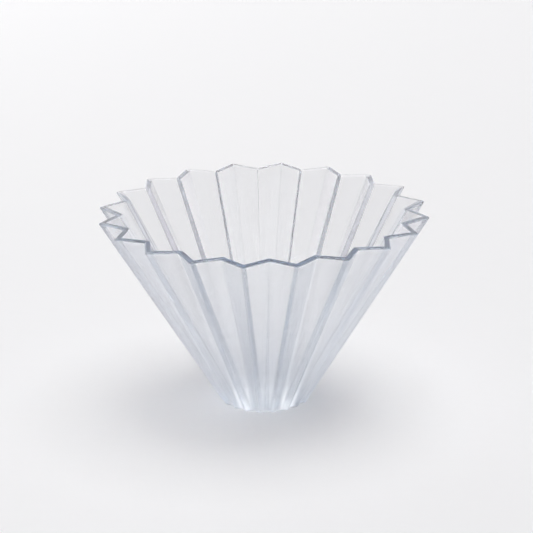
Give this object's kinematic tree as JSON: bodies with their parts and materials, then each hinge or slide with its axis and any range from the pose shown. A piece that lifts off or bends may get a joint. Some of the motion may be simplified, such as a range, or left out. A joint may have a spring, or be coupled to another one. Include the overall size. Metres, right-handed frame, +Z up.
{
  "type": "pour over dripper",
  "caption": "Clear plastic pour over coffee dripper: a thin cone folded into straight pleats all round, open at the rim, with a fluted outlet in its small scalloped foot.",
  "frame": {"origin": "centre of the foot's underside, on the surface the dripper stands on", "axes": "+Z up along the cone's axis, from the outlet to the rim; +X through the tip of a ridge"},
  "size_m": [0.1148, 0.1148, 0.069],
  "materials": {
    "clear_plastic": "clear styrene resin with a faint cool tint: satin faces with a fine grain, polished edges"
  },
  "bodies": {
    "root": {"pleated_cone": "clear_plastic"}
  },
  "joints": []
}
